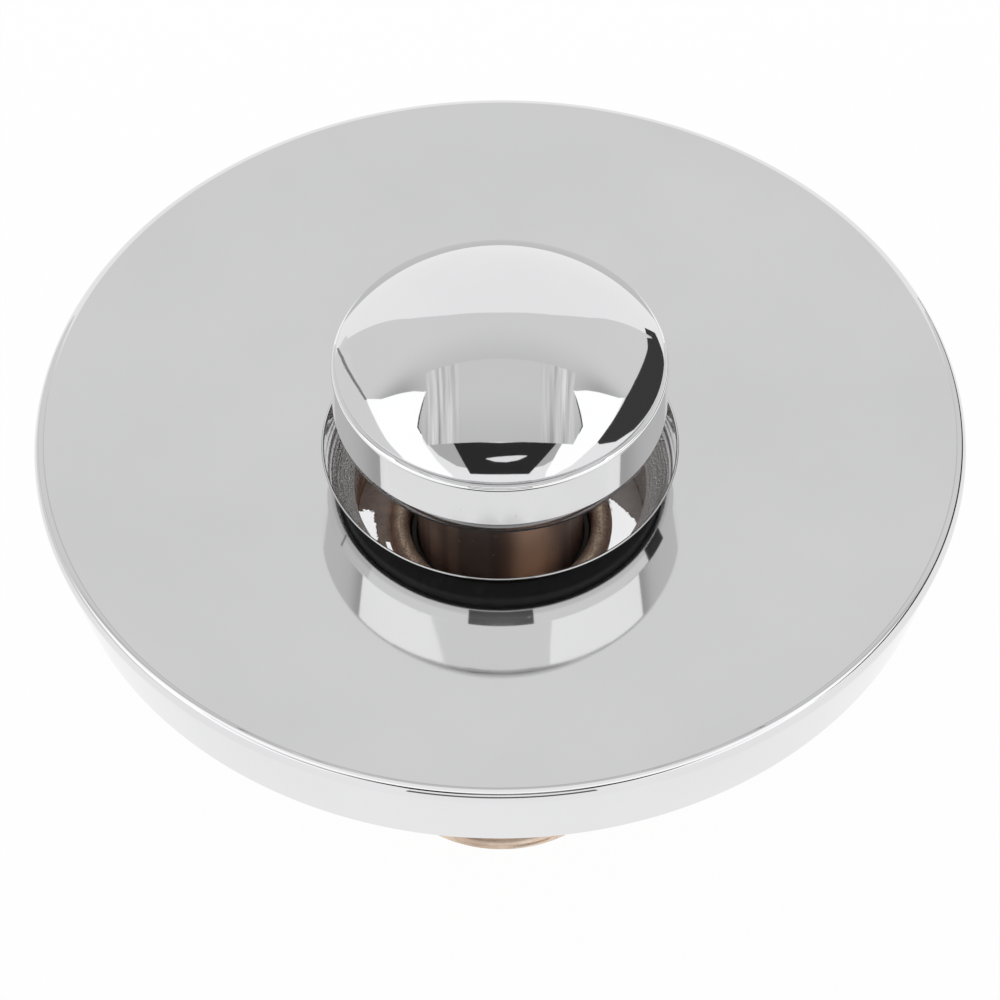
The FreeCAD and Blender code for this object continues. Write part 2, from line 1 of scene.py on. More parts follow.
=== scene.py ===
import json
from math import asin, atan, atan2, ceil, cos, hypot, pi, radians, sin, sqrt, tan
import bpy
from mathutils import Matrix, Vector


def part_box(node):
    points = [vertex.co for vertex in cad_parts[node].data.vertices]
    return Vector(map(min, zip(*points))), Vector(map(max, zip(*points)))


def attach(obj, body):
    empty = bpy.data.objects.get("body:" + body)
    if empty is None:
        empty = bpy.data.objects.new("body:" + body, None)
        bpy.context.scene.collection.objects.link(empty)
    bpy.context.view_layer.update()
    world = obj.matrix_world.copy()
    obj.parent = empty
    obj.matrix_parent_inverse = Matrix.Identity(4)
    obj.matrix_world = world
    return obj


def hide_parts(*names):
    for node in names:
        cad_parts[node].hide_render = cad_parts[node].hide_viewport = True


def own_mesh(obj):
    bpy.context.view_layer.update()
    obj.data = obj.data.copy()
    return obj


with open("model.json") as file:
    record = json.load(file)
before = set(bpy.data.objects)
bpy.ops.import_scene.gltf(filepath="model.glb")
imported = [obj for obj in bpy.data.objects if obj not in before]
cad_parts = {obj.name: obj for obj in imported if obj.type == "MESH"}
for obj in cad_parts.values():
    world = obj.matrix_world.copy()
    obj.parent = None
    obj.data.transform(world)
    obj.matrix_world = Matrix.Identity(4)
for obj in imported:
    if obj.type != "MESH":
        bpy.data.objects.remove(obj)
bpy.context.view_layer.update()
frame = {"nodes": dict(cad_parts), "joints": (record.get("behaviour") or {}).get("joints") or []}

from types import SimpleNamespace

import bmesh
import bpy
from bpy.props import FloatProperty, FloatVectorProperty, IntProperty, PointerProperty
from bpy.types import Operator, Panel, PropertyGroup
from mathutils import Quaternion, Vector, noise

bl_info = {
    "name": "Domed drain stopper",
    "version": (1, 0, 0),
    "blender": (4, 5, 0),
    "location": "View3D > Sidebar > Drain",
    "description": "Shapes the packed drain stopper's pieces and gives them their finishes",
    "category": "Object",
}

MM = 0.001
PLATE_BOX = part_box("cover_plate")
DOME_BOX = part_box("stopper_dome")
NUT_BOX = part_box("back_nut")
SPRING_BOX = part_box("return_spring")
RIM = PLATE_BOX[1].z / MM

# Heights above the rim, and radii, at which neighbouring pieces meet, in millimetres
BOSS_FOOT = 4.4
SEAL_TOP = 2.4
SEAL_FOOT = -0.45
CLAMP_FOOT = -1.85
COLLAR_FOOT = -8.0
GASKET_TOP = -9.5
HUB_FLOOR = -19.8
WELL_FOOT = -22.0
HUB_FOOT = -22.8
TAIL_TOP = -26.5
CUP_FOOT = -31.0
CONE_FOOT = -36.0
SLIP_FOOT = -37.5
NUT_FOOT = -47.0
THREAD_TOP = -48.0
STUD_RADIUS = 3.05
STUD_HOLE = 3.2
HUB_EDGE = 13.6
THREAD_BORE = 16.07
WASHER_BORE = 16.87
WASHER_RADIUS = 27.0

# Heights above the rim of the cap's middle and of the axis of the arched panels
CAP_MIDDLE = 7
ARCH_AXIS = -3

BLACK = (0, 0, 0)
WHITE = (1, 1, 1)
ROUND_STEPS = 6


# Sizes and colours that a user would change

def length(name, description, metres):
    return FloatProperty(name=name, description=description, default=metres,
                         min=0.0, precision=5, unit="LENGTH")


def colour(name, description, rgb):
    return FloatVectorProperty(name=name, description=description, default=rgb,
                               min=0.0, max=1.0, subtype="COLOR")


def tilt(name, description, degrees):
    return FloatProperty(name=name, description=description, default=radians(degrees), subtype="ANGLE")


def share(name, description, value):
    return FloatProperty(name=name, description=description, default=value,
                         min=0.0, max=2.0, subtype="FACTOR")


class PlateSizes(PropertyGroup):
    """Sizes of the dished cover plate"""
    radius: length("Rim radius", "Radius over the plate's rim", PLATE_BOX[1].x)
    wall_drop: length("Wall drop", "Depth of the side wall", PLATE_BOX[1].z - PLATE_BOX[0].z)
    rim_round: length("Rim round", "Radius that rounds the rim", 0.0011)
    dish_depth: length("Dish depth", "Fall of the dish from rim to hole", 0.0045)
    hole_radius: length("Hole radius", "Radius of the hole in the middle", 0.021)
    hole_edge: length("Hole edge", "Radius of the thin bead round the hole", 0.00016)
    sheet: length("Sheet", "Thickness of the plate", 0.0015)


class CapSizes(PropertyGroup):
    """Sizes of the domed cap and the band below it"""
    crown: length("Crown height", "Rise of the dome's top over the rim", DOME_BOX[1].z - PLATE_BOX[1].z)
    dome_foot: length("Dome foot", "Height of the dome's foot above the rim", 0.0102)
    dome_radius: length("Dome radius", "Radius of the dome at its foot", DOME_BOX[1].x)
    band_radius: length("Band radius", "Radius of the band at its lower corner", 0.0197)
    band_top: length("Band top", "Height of the band's upper corner above the rim", 0.0096)
    band_low: length("Band low", "Height of the band's lower corner above the rim", 0.0036)
    lip_low: length("Lip low", "Height of the band's lower edge above the rim", 0.0019)


class WellSizes(PropertyGroup):
    """Sizes of the well, its cast hub and the stem"""
    well_radius: length("Well radius", "Bore of the drain cup", 0.0176)
    seat_radius: length("Seat radius", "Bore at the top of the conical seat", 0.0206)
    hub_radius: length("Hub radius", "Radius over the cast hub ring", 0.0135)
    hub_bore: length("Hub bore", "Bore of the cast hub ring", 0.0111)
    stem_radius: length("Stem radius", "Radius of the stem", 0.0101)


class TailSizes(PropertyGroup):
    """Sizes of the threaded tail, its nut and the spring inside"""
    crest_radius: length("Crest radius", "Radius over the thread", 0.01662)
    pitch: length("Pitch", "Distance from crest to crest", 0.002309)
    depth: length("Thread depth", "Depth of the thread", 0.0012)
    nut_flats: length("Nut across flats", "Width of the back nut", NUT_BOX[1].y - NUT_BOX[0].y)
    coil_radius: length("Coil radius", "Radius of the spring's wire centre", 0.00645)
    wire_radius: length("Wire radius", "Radius of the spring's wire", 0.0006)
    turns: IntProperty(name="Turns", description="Turns of the spring", default=6, min=2)


class Colours(PropertyGroup):
    """Colours of the finishes"""
    chrome: colour("Chrome", "Polished chrome plate", (0.78, 0.78, 0.79))
    dish: colour("Dish", "Chrome on the dish, duller than the rim", (0.612, 0.612, 0.614))
    band: colour("Band", "Chrome on the band, the brightest", (0.95, 0.95, 0.955))
    plating: colour("Rough plating", "Thin plate on a turned wall", (0.98, 0.98, 0.98))
    cast: colour("Cast brass", "Brown skin of cast brass", (0.56, 0.395, 0.315))
    # Worn brass; on the cast hub's crest it is also the colour of the painted glints and painted light
    cast_worn: colour("Worn brass", "Cast brass where it is rubbed", (0.96, 0.76, 0.58))
    stem: colour("Stem brass", "Darkened turned brass", (0.5, 0.37, 0.32))
    # Colour of the painted highlight on the stem's front side, not of bare metal
    stem_highlight: colour("Bare stem", "Stem where its skin is rubbed off", (0.96, 0.66, 0.49))
    tail: colour("Tail brass", "Bare turned brass", (0.95, 0.77, 0.64))
    steel: colour("Steel", "Plain stainless steel", (0.58, 0.58, 0.6))
    rubber: colour("Rubber", "Black rubber", (0.022, 0.022, 0.023))
    plastic: colour("Plastic", "White moulded plastic", (0.83, 0.82, 0.77))
    dark_plastic: colour("Dark plastic", "Black moulded plastic", (0.035, 0.03, 0.027))


class StageSizes(PropertyGroup):
    """Camera and studio panels"""
    distance: length("Camera distance", "From the camera to the point it looks at", 0.42)
    look_drop: length("Look drop", "How far below the rim the camera looks", 0.01532)
    elevation: tilt("Elevation", "Camera angle above the floor", 49.72)
    roll: tilt("Roll", "Turn of the camera about its own axis", -0.28)
    lens: FloatProperty(name="Lens", description="Focal length for a 36 mm wide sensor",
                        default=124.3, min=1.0, subtype="DISTANCE_CAMERA")
    ceiling: share("Ceiling", "Brightness of the panel behind the object", 0.774)
    column: share("Column", "Brightness of the cloth above the cap", 0.72)
    sides: share("Sides", "Brightness of the two side panels", 1.3)
    front: share("Front", "Brightness of the panel above the camera", 1.26)
    dark: share("Dark", "Brightness of the dark panels", 0.03)


def millimetres(group):
    """A group's sizes in millimetres, for use in profiles."""
    return SimpleNamespace(**{name: getattr(group, name) / MM for name in type(group).__annotations__})


# Shader sums

class Value:
    """A socket that takes part in Python sums."""

    def __init__(self, finish, socket):
        self.finish = finish
        self.socket = socket

    def math(self, operation, first, second):
        return self.finish.add("ShaderNodeMath", {"operation": operation}, {0: first, 1: second})

    def __add__(self, other):
        return self.math("ADD", self, other)

    __radd__ = __add__

    def __sub__(self, other):
        return self.math("SUBTRACT", self, other)

    def __rsub__(self, other):
        return self.math("SUBTRACT", other, self)

    def __mul__(self, other):
        return self.math("MULTIPLY", self, other)

    __rmul__ = __mul__

    def __abs__(self):
        return self.math("ABSOLUTE", self, 0.0)


class Finish:
    """One procedural material, built from sums of node values."""

    def __init__(self, name, **constants):
        self.material = bpy.data.materials.new(name)
        self.material.use_nodes = True
        self.tree = self.material.node_tree
        self.shader = next(node for node in self.tree.nodes if node.type == "BSDF_PRINCIPLED")
        self.feed({key.replace("_", " "): value for key, value in constants.items()})

    def set(self, socket, value):
        if isinstance(value, Value):
            self.tree.links.new(value.socket, socket)
        elif socket.type == "RGBA":
            socket.default_value = (*tuple(value)[:3], 1.0)
        else:
            socket.default_value = value

    def feed(self, sockets):
        """Sets or links the shader's own sockets."""
        for key, value in sockets.items():
            self.set(self.shader.inputs[key], value)

    def add(self, kind, settings, sockets, out=0):
        """One node: its settings first, then its sockets."""
        node = self.tree.nodes.new(kind)
        for key, value in settings.items():
            setattr(node, key, value)
        for key, value in sockets.items():
            self.set(node.inputs[key], value)
        return Value(self, node.outputs[out])

    def place(self):
        """The point in the frame's own coordinates."""
        return self.add("ShaderNodeTexCoord", {}, {}, "Object")

    def axes(self):
        """x, y and the height above the rim, in millimetres."""
        point = self.add("ShaderNodeVectorMath", {"operation": "SCALE"}, {0: self.place(), "Scale": 1 / MM})
        x, y, z = (self.add("ShaderNodeSeparateXYZ", {}, {0: point}, out) for out in range(3))
        return x, y, z - RIM

    def around(self):
        """Distance from the drain's axis in millimetres."""
        x, y = self.axes()[:2]
        return self.add("ShaderNodeMath", {"operation": "SQRT"}, {0: x * x + y * y})

    def noise(self, grain, detail=2.0, stretch=(1, 1, 1), rough=0.5):
        """Noise from 0 to 1 whose lumps are about grain millimetres wide."""
        point = self.add("ShaderNodeVectorMath", {"operation": "MULTIPLY"}, {0: self.place(), 1: stretch})
        return self.add("ShaderNodeTexNoise", {},
                        {"Vector": point, "Scale": 1 / (grain * MM), "Detail": detail, "Roughness": rough})

    def cells(self, grain):
        """Distance to the nearest of scattered points about grain millimetres apart."""
        return self.add("ShaderNodeTexVoronoi", {}, {"Vector": self.place(), "Scale": 1 / (grain * MM)})

    def ramp(self, value, low, high):
        """Smooth step from 0 at low to 1 at high, whichever of them is the larger."""
        if low > high:
            return 1 - self.ramp(value, high, low)
        return self.add("ShaderNodeMapRange", {"interpolation_type": "SMOOTHSTEP"},
                        {"Value": value, "From Min": low, "From Max": high})

    def blend(self, mask, first, second):
        """Colour between first and second."""
        return self.add("ShaderNodeMix", {"data_type": "RGBA"}, {0: mask, 6: first, 7: second}, 2)

    def bump(self, height, depth):
        """Bump from a height of 0 to 1, depth millimetres deep."""
        self.feed({"Normal": self.add("ShaderNodeBump", {},
                                      {"Height": height, "Distance": depth * MM, "Strength": 1.0})})


def tinted(rgb, red, green=None, blue=None):
    """Colour times a factor, or times one factor for each channel."""
    return tuple(min(1.0, c * (red if by is None else by)) for c, by in zip(rgb, (red, green, blue)))


def polished_chrome(name, face, edge, reach, foot, haze):
    """Mirror plate with wipe haze and fine specks; edge colour beyond the reach and below the foot."""
    finish = Finish(name, Metallic=1.0)
    ramp = finish.ramp
    wipe = finish.noise(24, 3)
    fine = finish.noise(1.1, 2, (1, 1, 3))
    speck = ramp(finish.cells(3.1), 0.09, 0.04)
    height = finish.axes()[2]
    inner = ramp(finish.around(), reach + 0.15, reach) * ramp(height, foot - 0.3, foot)
    film = ramp(wipe, 0.3, 0.75) * 0.035 + speck * 0.01
    dull = haze * (ramp(wipe, 0.35, 0.8) + inner)
    finish.feed({
        "Base Color": finish.blend(film, finish.blend(inner, edge, face), BLACK),
        "Roughness": 0.018 + dull + 0.012 * fine + 0.05 * speck})
    return finish.material


def turned_plating(name, colours):
    """Thin plate over coarse tool marks, brown brass low in the well, smooth chrome on the outside."""
    finish = Finish(name)
    ramp = finish.ramp
    x, _, z = finish.axes()
    tool = finish.noise(0.3, 3, (0.05, 0.05, 1.0), 0.65)
    grit = finish.noise(0.32, 3, rough=0.65)
    patch = finish.noise(2.4, 5, (1, 1, 0.8), 0.62)
    flake = ramp(grit * 0.6 + tool * 0.4, 0.52, 0.6)
    r = finish.around()
    inside = ramp(r, 20.0, 18.6)
    bare = ramp(z + 0.1 * x + (patch - 0.5) * 7, -16.0, -18.6) * inside
    pale = finish.blend(ramp(tool, 0.3, 0.5), tinted(colours.plating, 0.8), colours.plating)
    brown = finish.blend(ramp(patch, 0.3, 0.75), colours.cast, tinted(colours.cast_worn, 0.85))
    finish.feed({
        "Base Color": finish.blend(bare, finish.blend(inside, colours.chrome, pale), brown),
        "Metallic": 1 - inside * 0.95 * (1 - flake * (1 - bare)),
        "Roughness": (0.26 + 0.16 * inside - 0.3 * flake * inside + 0.2 * bare
                      + 0.08 * tool * (1 - inside))})
    coarse = 0.12 + 0.88 * ramp(r, 20.45, 20.3)
    finish.bump((0.8 * tool + 0.7 * grit) * coarse, 0.24)
    return finish.material


def cast_brown(name, colours, plated):
    """Brown pitted casting, lighter on its round rim partly from wear and partly as painted light, with
    painted glints there; where plated, with islands of chrome.
    """
    finish = Finish(name)
    ramp = finish.ramp
    x, y, z = finish.axes()
    r = finish.around()
    skin = finish.noise(1.3, 5, rough=0.65)
    sand = finish.noise(0.28, 3, rough=0.6)
    pits = ramp(finish.cells(0.42) + (skin - 0.5) * 0.7 + (sand - 0.5) * 0.5, 0.22, 0.02)
    # The ring's crest is painted lighter: partly wear, partly painted light where light falls on its top
    worn_and_lit = ramp(z + (skin - 0.5) * 1.2, -19.2, -18.5) * ramp(r, 13.5, 12.5)
    brown = finish.blend(ramp(skin, 0.3, 0.72), tinted(colours.cast, 0.75), tinted(colours.cast, 1.2))
    # Painted glints: speckles on the crest painted in the light brass colour, with more metal and less
    # roughness
    glint = worn_and_lit * (1 - 0.7 * pits) * ramp(sand, 0.44, 0.6)
    brown = finish.blend(glint + 0.5 * worn_and_lit * (1 - glint), brown, colours.cast_worn)
    brown = finish.blend(pits * 0.8, brown, tinted(colours.cast, 0.2))
    metal = 0.2 + 0.6 * glint
    dull = 0.48 + 0.2 * skin - 0.26 * glint
    height = skin * 0.6 + sand * 0.35 - pits * 0.6
    if plated:
        torn = (finish.noise(2.4, 5, rough=0.7) - 0.5) * 7 + (finish.noise(0.5, 3, rough=0.6) - 0.5) * 2
        floor = ramp(z, HUB_FLOOR, HUB_FLOOR + 0.1)
        out = r - HUB_EDGE
        left_half = ramp(x, -10.0, -10.6)
        right = (ramp(x, 10.0, 10.6) * ramp(out, 0.02, 0.1)
                 * ramp(y + torn, -7.3, -7.1) * ramp(y + torn * 0.5 + out * 1.7, 4.6, 4.5))
        left = (left_half * ramp(out + torn * 0.3, 1.7, 1.8)
                * ramp(y + torn * 0.6, -7.2, -7.0) * ramp(y + torn * 0.6, 1.4, 1.2))
        sliver = left_half * ramp(out, 0.85, 0.75) * ramp(out, 0.15, 0.25) * ramp(y, -2.8, -3.1)
        plate = (right + left + sliver) * floor
        thin = floor * ramp(out, 0.0, 0.6) * (0.3 + 0.45 * ramp(x, 4, 10))
        brown = finish.blend(thin, brown, tinted(colours.plating, 0.9))
        brown = finish.blend(plate, brown, tinted(colours.chrome, 1.08))
        metal = metal + 0.8 * plate
        dull = dull * (1 - plate) + 0.06 * plate
        height = height * (1 - plate)
    finish.feed({"Base Color": brown, "Metallic": metal, "Roughness": dull})
    finish.bump(height, 0.12)
    return finish.material


def turned_brass(name, rgb, dull, metal, streak, rubbed=None):
    """Lathe-turned brass with rings, streaks, stains, nicks and, if given, a painted highlight and a painted
    shade band on its front side.
    """
    finish = Finish(name)
    ramp = finish.ramp
    rings = finish.noise(0.5, 2, (0.05, 0.05, 1.0))
    stain = finish.noise(7.0, 4, (1, 1, 0.6), 0.6)
    nick = ramp(finish.cells(1.9), 0.1, 0.05)
    body = finish.blend(ramp(stain, 0.3, 0.72), tinted(rgb, 0.62, 0.57, 0.53), tinted(rgb, 1.12, 1.1, 1.08))
    body = finish.blend(rings * 0.3, body, tinted(rgb, 0.8, 0.76, 0.72))
    long = ramp(finish.noise(4.0, 3, (1, 1, 0.03), 0.6), 0.38, 0.6)
    body = finish.blend(long * streak, body, tinted(rgb, 0.3, 0.26, 0.25))
    # Painted reflection on the stem's front side: a painted shade band left of the middle and a painted
    # highlight right of it, in the colour passed as rubbed
    if rubbed:
        x, y = finish.axes()[:2]
        front = ramp(y, -2, -5)
        shade = ramp(x, -5.8, -4.6) * ramp(x, 0.8, -1.2) * front
        # Painted highlight, broken up by the stains
        painted_highlight = ramp(x, 0.2, 3.2) * ramp(x, 7.6, 4.4) * front * ramp(stain, 0.1, 0.5)
        body = finish.blend(shade * 0.75, body, tinted(rgb, 0.2, 0.24, 0.27))
        body = finish.blend(painted_highlight, body, rubbed)
    finish.feed({
        "Base Color": finish.blend(nick * 0.35, body, tinted(rgb, 1.5, 1.5, 1.45)),
        "Metallic": metal - 0.25 * ramp(stain, 0.7, 0.35),
        "Roughness": dull + 0.14 * stain + 0.08 * rings})
    finish.bump(rings, 0.012)
    return finish.material


def plain_steel(name, rgb):
    """Stainless steel with drawn marks."""
    finish = Finish(name, Metallic=1.0)
    drawn = finish.noise(0.3, 3, (1, 1, 0.12))
    cloud = finish.noise(3.0, 2)
    finish.feed({
        "Base Color": finish.blend(cloud, tinted(rgb, 0.82), tinted(rgb, 1.08)),
        "Roughness": 0.22 + 0.16 * drawn})
    finish.bump(drawn, 0.006)
    return finish.material


def moulded_rubber(name, rgb):
    """Matt black rubber with moulding grain and a little dust."""
    finish = Finish(name, Specular_IOR_Level=0.35)
    grain = finish.noise(0.35, 3)
    dust = finish.ramp(finish.noise(2.4, 4, rough=0.65), 0.5, 0.8)
    finish.feed({
        "Base Color": finish.blend(dust * 0.5, rgb, tinted(rgb, 3.0)),
        "Roughness": 0.5 + 0.2 * grain + 0.1 * dust})
    finish.bump(grain, 0.02)
    return finish.material


def moulded_plastic(name, rgb):
    """Moulded plastic with a soft grain and a warm cast."""
    finish = Finish(name)
    grain = finish.noise(0.45, 2)
    cloud = finish.noise(6.0, 3)
    finish.feed({
        "Base Color": finish.blend(finish.ramp(cloud, 0.3, 0.7), tinted(rgb, 0.93, 0.92, 0.89), rgb),
        "Roughness": 0.38 + 0.16 * grain})
    finish.bump(grain, 0.01)
    return finish.material


def finishes():
    """Every finish by name, made once for the scene."""
    ready = {material.name: material for material in bpy.data.materials}
    c = bpy.context.scene.drain_colours
    makers = {
        "plate_mirror": (polished_chrome, c.dish, c.chrome, 53.8, -5.2, 0.018),
        "cap_mirror": (polished_chrome, c.chrome, c.band, 19.3, 0.0, 0.007),
        "turned_plating": (turned_plating, c),
        "cast_hub": (cast_brown, c, True),
        "cast_bridge": (cast_brown, c, False),
        "stem_brass": (turned_brass, c.stem, 0.3, 0.5, 0.75, c.stem_highlight),
        "tail_brass": (turned_brass, c.tail, 0.2, 0.9, 0.12),
        "steel": (plain_steel, c.steel),
        "rubber": (moulded_rubber, c.rubber),
        "plastic": (moulded_plastic, c.plastic),
        "dark_plastic": (moulded_plastic, c.dark_plastic),
    }
    return {name: ready.get("finish_" + name) or make("finish_" + name, *wants)
            for name, (make, *wants) in makers.items()}


# Shapes

def circle(count):
    """Angles of count even steps round a circle."""
    return [2 * pi * i / count for i in range(count)]


def even(start, end, steps, used=None):
    """Values from start to end in even steps, all of them or those whose numbers are given."""
    return [start + (end - start) * k / steps for k in used or range(steps + 1)]


def smooth(value, start, end):
    """Smooth step from 0 at start to 1 at end."""
    value = min(1.0, max(0.0, (value - start) / (end - start)))
    return value * value * (3 - 2 * value)


def rounded(corners):
    """Loop of (radius, height) points; a corner's third number is the radius that rounds it."""
    points = []
    for i, corner in enumerate(corners):
        here = Vector(corner[:2])
        if len(corner) == 2:
            points.append(tuple(here))
            continue
        back = (Vector(corners[i - 1][:2]) - here).normalized()
        on = (Vector(corners[(i + 1) % len(corners)][:2]) - here).normalized()
        half = back.angle(on) / 2
        reach = corner[2] / tan(half)
        centre = here + (back + on).normalized() * (corner[2] / sin(half))
        first = here + back * reach - centre
        last = here + on * reach - centre
        turn = atan2(first.x * last.y - first.y * last.x, first.dot(last))
        points.append(tuple(here + back * reach * 1.35))
        for t in even(0, turn, ROUND_STEPS):
            c, s = cos(t), sin(t)
            points.append((centre.x + c * first.x - s * first.y, centre.y + s * first.x + c * first.y))
        points.append(tuple(here + on * reach * 1.35))
    return points


def dense(points, step):
    """The loop with points no further apart than step."""
    full = []
    for here, there in zip(points, points[1:] + points[:1]):
        here, there = Vector(here), Vector(there)
        count = max(1, ceil((there - here).length / step))
        full += [tuple(here.lerp(there, k / count)) for k in range(count)]
    return full


def linked(name, mesh):
    """Object of a mesh in metres, put in the scene."""
    data = bpy.data.meshes.new(name)
    mesh.to_mesh(data)
    mesh.free()
    made = bpy.data.objects.new(name, data)
    bpy.context.scene.collection.objects.link(made)
    return made


def piece(name, mesh, sharp=38):
    """Object of a closed mesh, smooth but for edges sharper than so many degrees."""
    bmesh.ops.recalc_face_normals(mesh, faces=mesh.faces)
    made = linked(name, mesh)
    made.data.shade_smooth()
    made.data.set_sharp_from_angle(angle=radians(sharp))
    return made


def turn_rings(mesh, rings, closed):
    """Faces between neighbouring rings of vertices; a ring of one vertex is a pole."""
    count = max(len(ring) for ring in rings)
    pairs = list(zip(rings, rings[1:])) + ([(rings[-1], rings[0])] if closed else [])
    for low, high in pairs:
        for i in range(count):
            j = (i + 1) % count
            loop = [low[i % len(low)], low[j % len(low)], high[j % len(high)], high[i % len(high)]]
            corners = list(dict.fromkeys(loop))
            if len(corners) > 2:
                mesh.faces.new(corners)


def vertex_at(mesh, radius, angle, height):
    """Vertex at a radius, an angle and a height above the origin in millimetres."""
    return mesh.verts.new((radius * MM * cos(angle), radius * MM * sin(angle), height * MM))


def ring_of(mesh, radius, height, count):
    """Ring of vertices about the drain's axis, or one vertex on it."""
    angles = circle(count) if radius else [0.0]
    return [vertex_at(mesh, radius, a, height) for a in angles]


def turned(name, corners, count=192, step=None):
    """Piece turned about the drain's axis from a loop of corners, their heights above the rim."""
    points = dense(rounded(corners), step) if step else rounded(corners)
    mesh = bmesh.new()
    turn_rings(mesh, [ring_of(mesh, r, RIM + z, count) for r, z in points], True)
    return piece(name, mesh)


def fit(made, node, body, finish):
    """Puts a piece in a node's place: hides the node, hangs the piece on its body and gives it its finish."""
    made.data.materials.clear()
    made.data.materials.append(finishes()[finish])
    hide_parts(node)
    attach(made, body)


def plate_profile(p):
    """Corners of the cover plate: dish, rounded rim, tapered wall, underside and collar."""
    edge = p.radius - p.rim_round
    rim_z = -p.rim_round
    hole_z = -p.dish_depth
    foot_z = -p.wall_drop
    lean = 0.0
    for _ in range(12):
        end_r = edge - p.rim_round * sin(lean)
        end_z = rim_z + p.rim_round * cos(lean)
        rise = (end_z - hole_z) / (end_r ** 2 - p.hole_radius ** 2)
        lean = atan(2 * end_r * rise)

    def dish(r):
        return hole_z + rise * (r * r - p.hole_radius ** 2)

    taper = radians(102.1)
    top_r = edge + p.rim_round * sin(taper)
    top_z = rim_z + p.rim_round * cos(taper)
    foot_r = top_r + (top_z - foot_z) / tan(taper)
    haunch = 1.8
    collar_r = p.hole_radius + 1.4
    wall_r = edge - p.sheet / 2
    under_r = wall_r - haunch
    lip_r = p.hole_radius + 2 * p.hole_edge
    bead_z = dish(p.hole_radius + p.hole_edge) - 0.25 * p.hole_edge
    loop = [(p.hole_radius, COLLAR_FOOT, 0.25), (p.hole_radius, bead_z - 0.6)]
    loop += [(p.hole_radius + p.hole_edge * (1 - cos(t)), bead_z + p.hole_edge * sin(t))
             for t in even(0, radians(165), 15)]
    loop += [(r, dish(r)) for r in even(lip_r, end_r, 80, range(80))]
    loop += [(edge + p.rim_round * sin(t), rim_z + p.rim_round * cos(t))
             for t in even(-lean, taper, 28)]
    loop += zip(even(top_r, foot_r, 12, (1, 4, 8)), even(top_z, foot_z, 12, (1, 4, 8)))
    loop += [(foot_r, foot_z, 0.3), (foot_r - p.sheet, foot_z, 0.3), (wall_r, -p.sheet - haunch, 0.8),
             (under_r, dish(under_r) - p.sheet, 0.8)]
    loop += [(r, dish(r) - p.sheet) for r in even(under_r, collar_r, 24, range(2, 23))]
    loop += [(collar_r, dish(collar_r) - p.sheet, 0.5), (collar_r, COLLAR_FOOT, 0.3)]
    return loop


class DRAIN_OT_plate(Operator):
    """Makes the dished cover plate"""
    bl_idname = "drain.plate"
    bl_label = "Cover plate"

    def execute(self, context):
        shell = turned("plate_shell", plate_profile(millimetres(context.scene.drain_plate)), 384)
        fit(shell, "cover_plate", "drain", "plate_mirror")
        return {"FINISHED"}


class DRAIN_OT_cap(Operator):
    """Makes the domed cap and the band below it"""
    bl_idname = "drain.cap"
    bl_label = "Domed cap and band"

    def execute(self, context):
        c = millimetres(context.scene.drain_cap)
        rise = c.crown - c.dome_foot
        ball = (c.dome_radius ** 2 + rise ** 2) / (2 * rise)
        middle = c.crown - ball
        inner = ball - 2.2
        last = 0.98 * asin(c.dome_radius / ball)
        ledge, seam = c.dome_foot - 0.3, c.dome_foot - 0.34
        spigot, socket, hollow, boss = 17.1, 17.15, 15.6, 6.0
        spigot_foot, bore_top = 7.9, 13.4
        dome = [(ball * sin(t), middle + ball * cos(t)) for t in even(0, last, 72)]
        dome += [(c.dome_radius, c.dome_foot, 0.12), (c.dome_radius - 0.45, ledge), (spigot, ledge),
                 (spigot, spigot_foot, 0.3), (hollow, spigot_foot, 0.3)]
        dome += [(r, middle + sqrt(inner ** 2 - r * r)) for r in even(hollow, boss, 16)]
        dome += [(boss, BOSS_FOOT, 0.4), (STUD_RADIUS, BOSS_FOOT, 0.3), (STUD_RADIUS, bore_top),
                 (0, bore_top)]
        crown = turned("cap_dome", dome, 288)
        fit(crown, "stopper_dome", "stopper", "cap_mirror")

        groove, lip = 18.65, 19.2
        top_radius = c.band_radius - 0.05
        band = [(STUD_HOLE, SEAL_TOP), (groove, SEAL_TOP), (groove, c.lip_low, 0.08), (lip, c.lip_low, 0.12),
                (c.band_radius, c.band_low, 0.35)]
        band += zip(even(c.band_radius, top_radius, 12, range(2, 11)),
                    even(c.band_low, c.band_top, 12, range(2, 11)))
        band += [(top_radius, c.band_top, 0.45), (c.dome_radius - 0.1, seam), (socket, seam),
                 (socket, BOSS_FOOT), (STUD_HOLE, BOSS_FOOT)]
        ring = turned("cap_band", band, 288)
        fit(ring, "stopper_skirt", "stopper", "cap_mirror")
        return {"FINISHED"}


class DRAIN_OT_seal(Operator):
    """Makes the rubber seal and the ring that clamps it"""
    bl_idname = "drain.seal"
    bl_label = "Seal and retainer"

    def execute(self, context):
        bore, radius = 12.35, 18.6
        seal = turned("seal_ring", [
            (bore, SEAL_FOOT), (17.3, SEAL_FOOT, 0.4), (radius, 0.85, 0.5), (radius, SEAL_TOP),
            (bore, SEAL_TOP)])
        fit(seal, "stopper_seal", "stopper", "rubber")
        flange, neck, neck_top = 15.2, 12.3, 2.3
        clamp = turned("clamp_ring", [
            (STUD_HOLE, CLAMP_FOOT, 0.3), (flange, CLAMP_FOOT, 0.35), (flange, SEAL_FOOT, 0.25),
            (neck, SEAL_FOOT), (neck, neck_top), (STUD_HOLE, neck_top)])
        fit(clamp, "seal_retainer", "stopper", "stem_brass")
        return {"FINISHED"}


